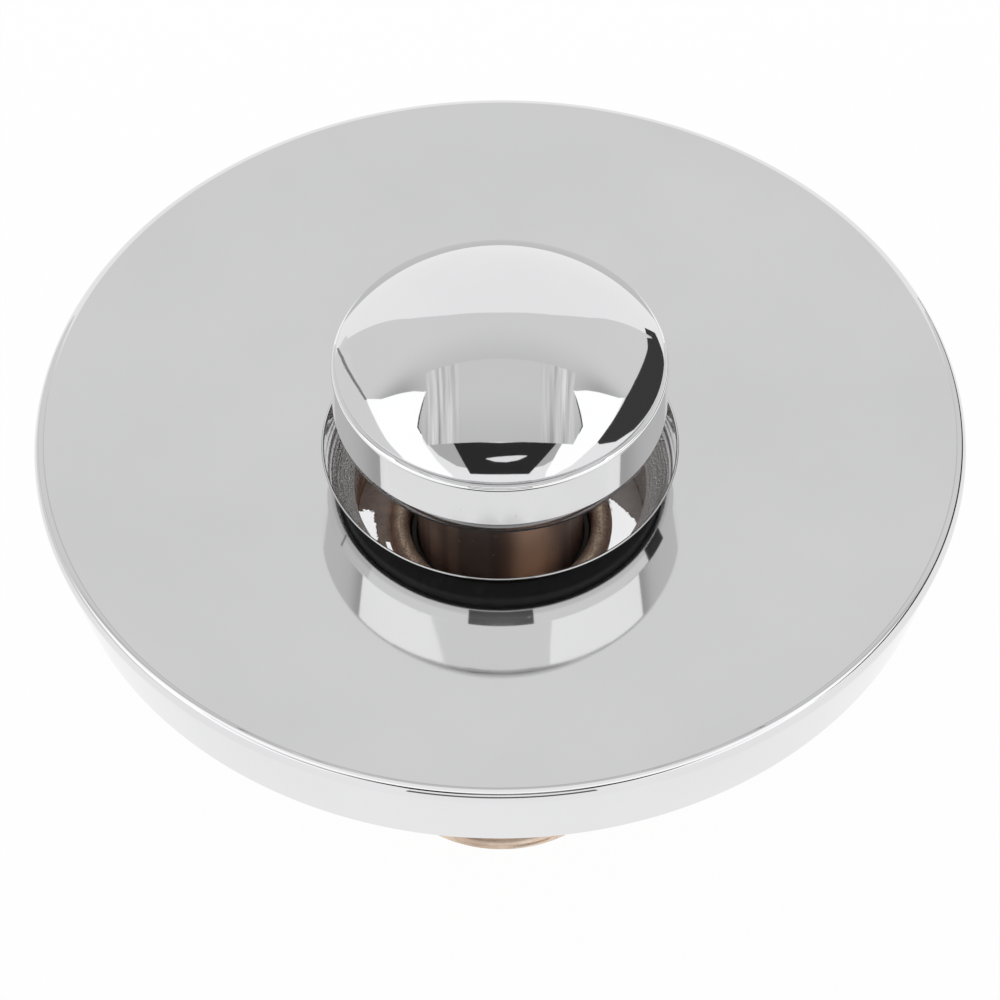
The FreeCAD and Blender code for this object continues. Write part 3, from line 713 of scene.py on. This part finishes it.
class DRAIN_OT_cup(Operator):
    """Makes the turned drain cup with its conical seat and well"""
    bl_idname = "drain.cup"
    bl_label = "Drain cup"

    def execute(self, context):
        w = millimetres(context.scene.drain_well)
        collar, shoulder, flange, barrel, ledge = 22.45, 25.5, 38.0, 20.5, 16.9
        collar_top, flange_top = -6.2, -7.3
        profile = [(collar, COLLAR_FOOT), (collar, collar_top, 0.3), (shoulder, collar_top, 0.6),
                   (shoulder, flange_top, 0.4), (flange, flange_top, 0.5), (flange, GASKET_TOP, 0.4),
                   (barrel, GASKET_TOP, 0.4), (barrel, CUP_FOOT, 0.6), (THREAD_BORE, CUP_FOOT, 0.4),
                   (THREAD_BORE, TAIL_TOP), (ledge, TAIL_TOP), (ledge, WELL_FOOT, 0.2),
                   (w.well_radius, WELL_FOOT), (w.well_radius, -11.8, 0.35), (w.seat_radius, -8.8, 0.2),
                   (w.seat_radius, COLLAR_FOOT, 0.15)]
        cup = turned("cup_body", profile, 256, 0.8)
        fit(cup, "drain_cup", "drain", "turned_plating")
        return {"FINISHED"}


def kidney(r_in, r_out, middle, wide, low, high):
    """Block between two radii with round ends, as a mesh in metres."""
    r_mid, end = (r_in + r_out) / 2, (r_out - r_in) / 2
    half = radians(wide / 2) - end / r_mid
    middle = radians(middle)
    first, last = middle - half, middle + half

    def arc(centre, radius, angles):
        return [centre + radius * Vector((cos(a), sin(a))) for a in angles]

    axis = Vector((0, 0))
    ends = arc(axis, r_mid, (last, first))
    points = arc(axis, r_out, even(first, last, 40))
    points += arc(ends[0], end, even(last, last + pi, 12, range(1, 12)))
    points += arc(axis, r_in, even(last, first, 40))
    points += arc(ends[1], end, even(first + pi, first + 2 * pi, 12, range(1, 12)))
    mesh = bmesh.new()
    floor = mesh.faces.new([mesh.verts.new((p.x * MM, p.y * MM, (RIM + low) * MM)) for p in points])
    top = bmesh.ops.extrude_face_region(mesh, geom=[floor])["geom"]
    bmesh.ops.translate(mesh, vec=(0, 0, (high - low) * MM),
                        verts=[v for v in top if isinstance(v, bmesh.types.BMVert)])
    return mesh


def apply_modifiers(made):
    """Makes a piece's mesh what its modifiers show."""
    bpy.context.view_layer.update()
    whole = bpy.data.meshes.new_from_object(made.evaluated_get(bpy.context.evaluated_depsgraph_get()))
    made.modifiers.clear()
    made.data = whole


def cut_from(made, cutters):
    """Cuts the cutters out of a piece and removes them."""
    for cutter in cutters:
        work = made.modifiers.new("cut", "BOOLEAN")
        work.operation, work.solver, work.object = "DIFFERENCE", "EXACT", cutter
    apply_modifiers(made)
    for cutter in cutters:
        bpy.data.objects.remove(cutter)


def cast_skin(made, lump, smooth_floor):
    """Sinks a casting's surface by lumps and pits, never outwards."""
    data = made.data
    moved = []
    for vertex in data.vertices:
        at = vertex.co / MM
        depth = lump * (0.5 + 0.5 * noise.noise(at * 0.9))
        depth += 0.5 * lump * abs(noise.noise(at * 2.7 + Vector((7, 3, 1))))
        near = noise.voronoi(at * 1.15)[0][0]
        depth += lump * 1.6 * max(0.0, 1 - near / 0.28) ** 2
        on_floor = vertex.normal.z > 0.8 and hypot(at.x, at.y) > HUB_EDGE and at.z > RIM + HUB_FLOOR
        if smooth_floor and on_floor:
            depth = 0.0
        moved.append(vertex.co - vertex.normal * depth * MM)
    for vertex, point in zip(data.vertices, moved):
        vertex.co = point
    data.update()


class DRAIN_OT_castings(Operator):
    """Makes the cast hub in the well and the cast bridge in the tail"""
    bl_idname = "drain.castings"
    bl_label = "Cast hub and bridge"

    def execute(self, context):
        w = millimetres(context.scene.drain_well)
        rim = (w.hub_radius - w.hub_bore) / 2
        floor_r = w.well_radius - 0.05
        floor_z, wall_z = -19.6, -18.7
        profile = [(w.hub_bore, HUB_FOOT, 0.2), (w.hub_radius, HUB_FOOT, 0.2), (w.hub_radius, WELL_FOOT),
                   (floor_r, WELL_FOOT), (floor_r, wall_z), (w.hub_radius, floor_z)]
        profile += [(w.hub_bore + rim + rim * cos(t), floor_z + rim * sin(t))
                    for t in even(0, pi, 16, range(1, 17))]
        hub = turned("hub_casting", profile, 320, 0.3)
        windows = [piece("window_tool", kidney(14.3, 16.8, middle, 110, -24, -17)) for middle in (90, 270)]
        cut_from(hub, windows)
        hub.data.set_sharp_from_angle(angle=radians(50))
        cast_skin(hub, 0.05, True)
        fit(hub, "spider_hub", "drain", "cast_hub")

        mesh = bmesh.new()
        mesh.from_mesh(frame["nodes"]["bottom_bridge"].data)
        bmesh.ops.remove_doubles(mesh, verts=mesh.verts, dist=1e-6)
        bridge = piece("bridge_casting", mesh)
        grow = bridge.modifiers.new("skin", "REMESH")
        grow.mode, grow.voxel_size, grow.use_smooth_shade = "VOXEL", 0.00032, True
        ease = bridge.modifiers.new("ease", "SMOOTH")
        ease.factor, ease.iterations = 0.5, 3
        apply_modifiers(bridge)
        cast_skin(bridge, 0.06, False)
        fit(bridge, "bottom_bridge", "drain", "cast_bridge")
        return {"FINISHED"}


class DRAIN_OT_stem(Operator):
    """Makes the stem and the bush that guides it"""
    bl_idname = "drain.stem"
    bl_label = "Stem and bush"

    def execute(self, context):
        w = millimetres(context.scene.drain_well)
        radius, bore, groove = w.stem_radius, 8.3, 9.6
        foot, groove_foot, groove_top, bore_top = -26.3, -25.05, -23.85, -4.85
        stem = turned("stem_tube", [
            (bore, foot, 0.3), (radius, foot, 0.5), (radius, groove_foot, 0.08), (groove, groove_foot),
            (groove, groove_top), (radius, groove_top, 0.08), (radius, CLAMP_FOOT, 0.2),
            (STUD_RADIUS, CLAMP_FOOT), (STUD_RADIUS, bore_top), (bore, bore_top)], step=1.0)
        fit(stem, "stem_sleeve", "stopper", "stem_brass")
        bore, sleeve, flange = 10.16, 11.05, 12.6
        foot, top = -23.8, -20.6
        bush = turned("bush_ring", [
            (bore, foot, 0.2), (flange, foot, 0.25), (flange, HUB_FOOT, 0.2), (sleeve, HUB_FOOT),
            (sleeve, top, 0.25), (bore, top, 0.25)])
        fit(bush, "guide_bush", "drain", "dark_plastic")
        return {"FINISHED"}


class DRAIN_OT_tail(Operator):
    """Makes the threaded tail pipe"""
    bl_idname = "drain.tail"
    bl_label = "Threaded tail"

    def execute(self, context):
        t = millimetres(context.scene.drain_tail)
        count, rows = 160, 14
        low, high, top = 0.45, RIM + THREAD_TOP, RIM + TAIL_TOP
        root = t.crest_radius - t.depth
        plain = t.crest_radius - t.depth / 2
        lead = 0.62
        mesh = bmesh.new()

        def thread(height, turn):
            """Radius at a height and a share of a turn: full at the open end, plain under the nut."""
            phase = (height / t.pitch - turn + lead) % 1.0
            crest = smooth(0.5 - abs(phase - 0.5) * 2, -0.4, 0.3)
            full = root + t.depth * max(crest, 1 - smooth(height, 0.75, 1.35))
            return full + (plain - full) * smooth(height, high - 1.0, high - 0.1)

        steps = ceil((high - low) / t.pitch * rows) + rows
        columns = []
        for i, angle in enumerate(circle(count)):
            turn = i / count
            heights = (low + t.pitch * (k / rows + turn) for k in range(-rows, steps + 1))
            columns.append([vertex_at(mesh, thread(z, turn), angle, z)
                            for z in (min(high, max(low, height)) for height in heights)])
        for i, here in enumerate(columns):
            there = columns[(i + 1) % count][rows if i == count - 1 else 0:]
            for corners in zip(here, there, there[1:], here[1:]):
                mesh.faces.new(corners)
        mouth, bore, mouth_top = 12.8, 13.6, 6.0
        rest = rounded([(t.crest_radius, low), (t.crest_radius - low, 0.0, 0.12), (mouth, 0.0, 0.3),
                        (mouth, mouth_top), (bore, mouth_top), (bore, top, 0.4), (plain, top, 0.3),
                        (plain, top - 8), (plain, high)])
        turn_rings(mesh, [ring_of(mesh, r, z, count) for r, z in rest], False)
        bmesh.ops.remove_doubles(mesh, verts=mesh.verts, dist=2e-6)
        pipe = piece("tail_tube", mesh, 45)
        fit(pipe, "tail_pipe", "drain", "tail_brass")
        return {"FINISHED"}


class DRAIN_OT_clamp(Operator):
    """Makes the gasket, washers and back nut that clamp the drain in its deck"""
    bl_idname = "drain.clamp"
    bl_label = "Gasket, washers and nut"

    def execute(self, context):
        t = millimetres(context.scene.drain_tail)
        bore, radius, foot = 20.8, 37.5, -11.5
        gasket = turned("gasket_ring", [
            (bore, foot, 0.4), (radius, foot, 0.6), (radius, GASKET_TOP, 0.3), (bore, GASKET_TOP, 0.3)])
        fit(gasket, "deck_gasket", "drain", "rubber")
        cone = turned("cone_ring", [
            (WASHER_BORE, CONE_FOOT, 0.3), (WASHER_RADIUS, CONE_FOOT, 0.4), (WASHER_RADIUS, -34.5, 0.7),
            (20.3, CUP_FOOT, 0.5), (WASHER_BORE, CUP_FOOT, 0.3)])
        fit(cone, "cone_washer", "drain", "rubber")
        slip = turned("slip_ring", [
            (WASHER_BORE, SLIP_FOOT, 0.2), (WASHER_RADIUS, SLIP_FOOT, 0.35),
            (WASHER_RADIUS, CONE_FOOT, 0.35), (WASHER_BORE, CONE_FOOT, 0.2)])
        fit(slip, "slip_washer", "drain", "plastic")

        # The nut's end, as rows of (radius, depth below its face) round the nut, serves at both ends
        flat = t.nut_flats / 2
        low, high = RIM + NUT_FOOT, RIM + SLIP_FOOT
        bevel, face, count = 0.8, flat - 0.45, 240
        mesh = bmesh.new()
        angles = circle(count)
        sides = [flat / cos((a % (pi / 3)) - pi / 6) for a in angles]
        drops = [(side - face) * tan(radians(28)) for side in sides]
        flush = ((THREAD_BORE, bevel), (THREAD_BORE + bevel, 0), (face - 0.3, 0), (face, 0.02))
        end = [[point] * count for point in flush]
        end += [[(face + (side - face) * k / 6, drop * k / 6) for side, drop in zip(sides, drops)]
                for k in range(1, 6)]
        rows = [[(r, low + depth) for r, depth in row] for row in end]
        walls = [even(low + drop, high - drop, 8) for drop in drops]
        rows += [list(zip(sides, heights)) for heights in zip(*walls)]
        rows += [[(r, high - depth) for r, depth in row] for row in reversed(end)]
        turn_rings(mesh, [[vertex_at(mesh, r, a, z) for (r, z), a in zip(row, angles)] for row in rows], True)
        nut = piece("nut_hex", mesh, 22)
        fit(nut, "back_nut", "drain", "tail_brass")
        return {"FINISHED"}


class DRAIN_OT_spring(Operator):
    """Makes the return spring at its full length between its box's ends; the stopper's stroke is read but
    nothing shortens the spring
    """
    bl_idname = "drain.spring"
    bl_label = "Return spring"

    def execute(self, context):
        tail = context.scene.drain_tail
        coil, wire, turns = tail.coil_radius / MM, tail.wire_radius / MM, tail.turns
        low, high = SPRING_BOX[0].z / MM + wire, SPRING_BOX[1].z / MM - wire
        per_turn, sides, close = 72, 16, 2.6
        steps = per_turn * turns
        wider = (high - low - 2 * close) / (turns - 2) - close
        nearest = [min(i + 0.5, steps - i - 0.5) / per_turn for i in range(steps)]
        rates = [close + wider * smooth(turns_in, 0.75, 1.25) for turns_in in nearest]
        lift = (high - low) / sum(rates)
        mesh = bmesh.new()
        rings, height = [], low
        for i in range(steps + 1):
            angle = 2 * pi * i / per_turn
            rings.append([vertex_at(mesh, coil + wire * cos(b), angle, height + wire * sin(b))
                          for b in circle(sides)])
            height += rates[min(i, steps - 1)] * lift
        turn_rings(mesh, rings, False)
        mesh.faces.new(rings[0])
        mesh.faces.new(rings[-1])
        spring = piece("spring_wire", mesh, 50)
        fit(spring, "return_spring", "drain", "steel")
        stroke = abs(next(j for j in frame["joints"] if j["name"] == "stopper_slide")["range_m"][0])
        foot, tall = SPRING_BOX[0].z, SPRING_BOX[1].z - SPRING_BOX[0].z
        (tall - stroke) / tall
        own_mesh(spring)
        return {"FINISHED"}


class DRAIN_OT_works(Operator):
    """Gives the latch, post, stud, clips and nuts their finishes"""
    bl_idname = "drain.works"
    bl_label = "Inner works"

    def execute(self, context):
        look = finishes()
        dress = {"guide_post": "stem_brass", "cam_ring": "stem_brass", "plunger": "plastic"}
        steel = ("post_nut", "post_clip", "spring_seat", "cam_pins", "stem_clip", "cap_stud", "stud_nut")
        dress.update(dict.fromkeys(steel, "steel"))
        for node, name in dress.items():
            made = frame["nodes"][node]
            if not made.material_slots:
                made.data.materials.append(None)
            for holder in made.material_slots:
                holder.material = look[name]
        return {"FINISHED"}


def sheet(name, quads, material):
    """Sheet of four-cornered faces in millimetres."""
    mesh = bmesh.new()
    for quad in quads:
        mesh.faces.new([mesh.verts.new(Vector(p) * MM) for p in quad])
    made = linked(name, mesh)
    made.data.materials.append(material)
    return made


def panel(name, quads, light):
    """Studio panel that only shines and is seen only in reflections."""
    made = sheet(name, quads, light)
    made.visible_camera = False


def shining(name):
    """Finish that only shines."""
    return Finish(name, Base_Color=BLACK, Roughness=1.0, Specular_IOR_Level=0.0, Emission_Strength=1.0)


def glow(name, level):
    """Plain light of one level."""
    finish = shining(name)
    finish.feed({"Emission Color": (level, level, level)})
    return finish.material


def toward(azimuth, elevation, reach):
    """Point seen from the cap's middle at an azimuth from the camera, an elevation and a reach."""
    a, e = radians(azimuth), radians(elevation)
    out = reach * cos(e)
    return out * sin(a), -out * cos(a), RIM + CAP_MIDDLE + reach * sin(e)


def strip(low, high, reach):
    """Faces between a lower and an upper line of (azimuth, elevation) points."""
    return [(toward(*a, reach), toward(*b, reach), toward(*d, reach), toward(*c, reach))
            for a, b, c, d in zip(low, low[1:], high, high[1:])]


def arch(radius, rows):
    """Arched faces over the cap from rows of (angle from the back, inner and outer half width)."""
    def over(row, x):
        turn = radians(row[0])
        return x, radius * cos(turn), RIM + ARCH_AXIS + radius * sin(turn)

    return [(over(a, side * a[1]), over(a, side * a[2]), over(b, side * b[2]), over(b, side * b[1]))
            for a, b in zip(rows, rows[1:]) for side in (-1, 1)]


def mirrored(line):
    """A line of (azimuth, elevation) points on the other side."""
    return [(-azimuth, elevation) for azimuth, elevation in line]


FRONT_HALF = [(0, 58.9), (22, 58.4), (46, 57.4), (68, 56), (90, 54.5), (105, 53)]
FRONT = mirrored(FRONT_HALF[:0:-1]) + FRONT_HALF
SIDE_LOW = [(62, 44), (45, 43), (30, 42.6)]
SIDE_HIGH = [(38, 54), (30, 48), (22, 43.4)]
# Name, light, reach, lower line and upper line of every card round the object
CARDS = (
    ("left_box", "soft_light", 900,
     [(-104, 23), (-92, 26.5), (-77, 28.5), (-63, 30), (-50, 31), (-38, 33), (-26, 36)],
     [(-96, 48), (-93, 58), (-83, 54), (-72, 47), (-59, 43), (-43, 40), (-30, 37)]),
    ("right_box", "soft_light", 900,
     [(103, 28), (92.6, 31), (84, 32.5), (74, 33.7), (60, 35.7), (46, 35.7), (28, 36)],
     [(97, 50), (94, 60), (83, 56), (75, 52), (62, 49), (44, 45.5), (30, 39)]),
    ("front_box", "front_light", 1250, FRONT, [(azimuth, 70) for azimuth, _ in FRONT]),
    ("camera_card", "dark_cloth", 1200,
     [(-20, 41), (-10, 42.2), (0, 42.6), (10, 42.2), (19, 41)],
     [(-42, 52.5), (-22, 57), (0, 58.4), (22, 57), (51, 49.5)]),
    ("camera_ring", "lens_light", 1150,
     [(-11, 49.8), (-4, 48.9), (5, 48.6), (14, 48.9), (21, 49.8)],
     [(-11, 50.1), (-4, 51.2), (5, 51.6), (14, 51.2), (21, 50.1)]),
    ("side_cloth_left", "side_cloth", 1300, mirrored(SIDE_LOW), mirrored(SIDE_HIGH)),
    ("side_cloth_right", "side_cloth", 1300, SIDE_LOW, SIDE_HIGH),
    ("low_card", "low_cloth", 470,
     [(-18, 6), (-8, 6), (8, 6), (18, 6)], [(-18, 22), (-8, 22), (8, 22), (18, 22)]),
    ("right_card", "right_cloth", 200,
     [(138, -5), (130, -2.5), (121, 2), (111, 7), (100, 13.5), (86, 20), (74, 26), (66, 32)],
     [(138, 0.5), (128.5, 7), (118.5, 15.5), (109, 22), (98, 27.5), (86, 31), (74, 33), (66, 33.5)]),
    ("left_card", "left_cloth", 1000,
     [(-150, -24), (-136, -16), (-122, -10), (-106, -2), (-90, 10), (-76, 20), (-62, 28)],
     [(-146, -12), (-135, 2), (-122, 22), (-108, 36), (-94, 44), (-78, 40), (-63, 34)]),
    ("left_seam", "seam_cloth", 200,
     [(-133, -4.6), (-127, 2), (-116, 12), (-108, 18), (-100, 22.6)],
     [(-133, -3.6), (-127, 3.4), (-116, 13.4), (-108, 19.3), (-100, 23.6)]),
)


class DRAIN_OT_stage(Operator):
    """Sets up the floor, the soft panels and the camera"""
    bl_idname = "drain.stage"
    bl_label = "Stage"

    def execute(self, context):
        scene = context.scene
        s = scene.drain_stage
        scene.view_settings.view_transform = "Standard"

        scene.world = world = bpy.data.worlds.new("studio_white")
        world.use_nodes = True
        backdrop = next(n for n in world.node_tree.nodes if n.type == "BACKGROUND")
        backdrop.inputs["Color"].default_value = (1, 1, 1, 1)
        backdrop.inputs["Strength"].default_value = 1.0

        # White to the camera and in reflections, with a trace of the paper's own shadow
        paper = Finish("floor_paper", Base_Color=(0.95, 0.95, 0.95), Roughness=0.9, Specular_IOR_Level=0.0)
        rays = ("Is Camera Ray", "Is Glossy Ray", "Is Transmission Ray")
        seen = sum(paper.add("ShaderNodeLightPath", {}, {}, ray) for ray in rays)
        white = paper.add("ShaderNodeEmission", {}, {"Color": WHITE, "Strength": 1.0})
        both = paper.add("ShaderNodeMixShader", {},
                         {0: 0.97 * seen, 1: Value(paper, paper.shader.outputs[0]), 2: white})
        end = next(n for n in paper.tree.nodes if n.type == "OUTPUT_MATERIAL")
        paper.set(end.inputs["Surface"], both)
        reach, drop = 4000, -0.2
        corners = [(-reach, -reach, drop), (reach, -reach, drop), (reach, reach, drop), (-reach, reach, drop)]
        floor = sheet("floor", [corners], paper.material)

        ceiling = shining("ceiling_cloth")
        x, y = ceiling.axes()[:2]
        fall = ceiling.ramp(y, 70, 0) * 0.14
        ends = ceiling.ramp(abs(x), 80, 150) * ceiling.ramp(y, 46, 6) * 0.2
        ceiling.feed({"Emission Color": ceiling.blend(s.ceiling - fall - ends, BLACK, WHITE)})
        panel("ceiling_panel", arch(139, [
            (4, 140, 158), (16, 128, 178), (25, 115, 205), (33, 101, 225), (40, 88, 240), (45, 73, 250),
            (48.5, 60, 255), (50.8, 49, 258), (52.8, 33, 261), (54.2, 16, 263), (54.8, 0, 264), (57, 0, 267),
            (64, 0, 276), (70, 0, 255), (75, 0, 232), (80, 0, 207), (83, 0, 178), (86, 0, 145), (89, 0, 116),
            (92, 0, 97)]), ceiling.material)

        column = shining("column_cloth")
        x, y = column.axes()[:2]
        wide = abs(x)
        seam = column.noise(1.8, 2, (1, 0.04, 0.04)) - 0.5
        folds = column.ramp(wide, 14, 18) * column.ramp(wide, 34, 27) * seam * 1.1
        edge = column.ramp(wide, 30, 37) * 0.12
        level = s.column - column.ramp(y, -12, -34) * 0.1 + folds - edge
        column.feed({"Emission Color": column.blend(level, BLACK, WHITE)})
        panel("column_panel", arch(50, [
            (90, 0, 31), (99, 0, 30), (106, 0, 33), (112, 0, 35), (117, 0, 36), (121, 0, 33.5),
            (126.6, 0, 30)]), column.material)

        lights = {name: glow(name, level) for name, level in (
            ("dark_cloth", s.dark), ("soft_light", s.sides), ("front_light", s.front), ("lens_light", 0.9),
            ("side_cloth", 0.5), ("low_cloth", 0.13), ("right_cloth", 0.05), ("left_cloth", 0.8),
            ("seam_cloth", 0.25))}
        panel("column_seam", arch(49.7, [
            (102, 31, 31.2), (106, 32.2, 32.9), (112, 34.1, 35), (117, 35.2, 36), (121, 33.2, 33.5)]),
            lights["dark_cloth"])
        for name, light, reach, low, high in CARDS:
            panel(name, strip(low, high, reach), lights[light])

        eye = bpy.data.cameras.new("camera")
        eye.sensor_width = 36.0
        eye.lens = s.lens
        eye.clip_start = 0.01
        camera = bpy.data.objects.new("camera", eye)
        scene.collection.objects.link(camera)
        aside = -0.00005
        target = Vector((aside, 0, RIM * MM - s.look_drop))
        away = Vector((0, -cos(s.elevation), sin(s.elevation)))
        camera.location = target + away * s.distance
        camera.rotation_mode = "QUATERNION"
        camera.rotation_quaternion = (-away).to_track_quat("-Z", "Y") @ Quaternion((0, 0, 1), s.roll)
        scene.camera = camera
        return {"FINISHED"}


OPERATORS = (DRAIN_OT_plate, DRAIN_OT_cap, DRAIN_OT_seal, DRAIN_OT_cup, DRAIN_OT_castings, DRAIN_OT_stem,
             DRAIN_OT_tail, DRAIN_OT_clamp, DRAIN_OT_spring, DRAIN_OT_works, DRAIN_OT_stage)
GROUPS = {"drain_plate": PlateSizes, "drain_cap": CapSizes, "drain_well": WellSizes,
          "drain_tail": TailSizes, "drain_colours": Colours, "drain_stage": StageSizes}


class DRAIN_PT_parts(Panel):
    """Lists the drain's pieces with their sizes and colours"""
    bl_idname = "DRAIN_PT_parts"
    bl_label = "Domed drain stopper"
    bl_space_type = "VIEW_3D"
    bl_region_type = "UI"
    bl_category = "Drain"

    def draw(self, context):
        for maker in OPERATORS:
            self.layout.operator(maker.bl_idname)
        for name, group in GROUPS.items():
            box = self.layout.box()
            box.label(text=group.__doc__)
            for size in group.__annotations__:
                box.prop(getattr(context.scene, name), size)


CLASSES = (*GROUPS.values(), *OPERATORS, DRAIN_PT_parts)


def register():
    for made in CLASSES:
        bpy.utils.register_class(made)
    for name, group in GROUPS.items():
        setattr(bpy.types.Scene, name, PointerProperty(type=group))


def unregister():
    for name in GROUPS:
        delattr(bpy.types.Scene, name)
    for made in reversed(CLASSES):
        bpy.utils.unregister_class(made)


def main():
    register()
    bpy.ops.drain.plate()
    bpy.ops.drain.cap()
    bpy.ops.drain.seal()
    bpy.ops.drain.cup()
    bpy.ops.drain.castings()
    bpy.ops.drain.stem()
    bpy.ops.drain.tail()
    bpy.ops.drain.clamp()
    bpy.ops.drain.spring()
    bpy.ops.drain.works()
    bpy.ops.drain.stage()


if __name__ == "__main__":
    main()
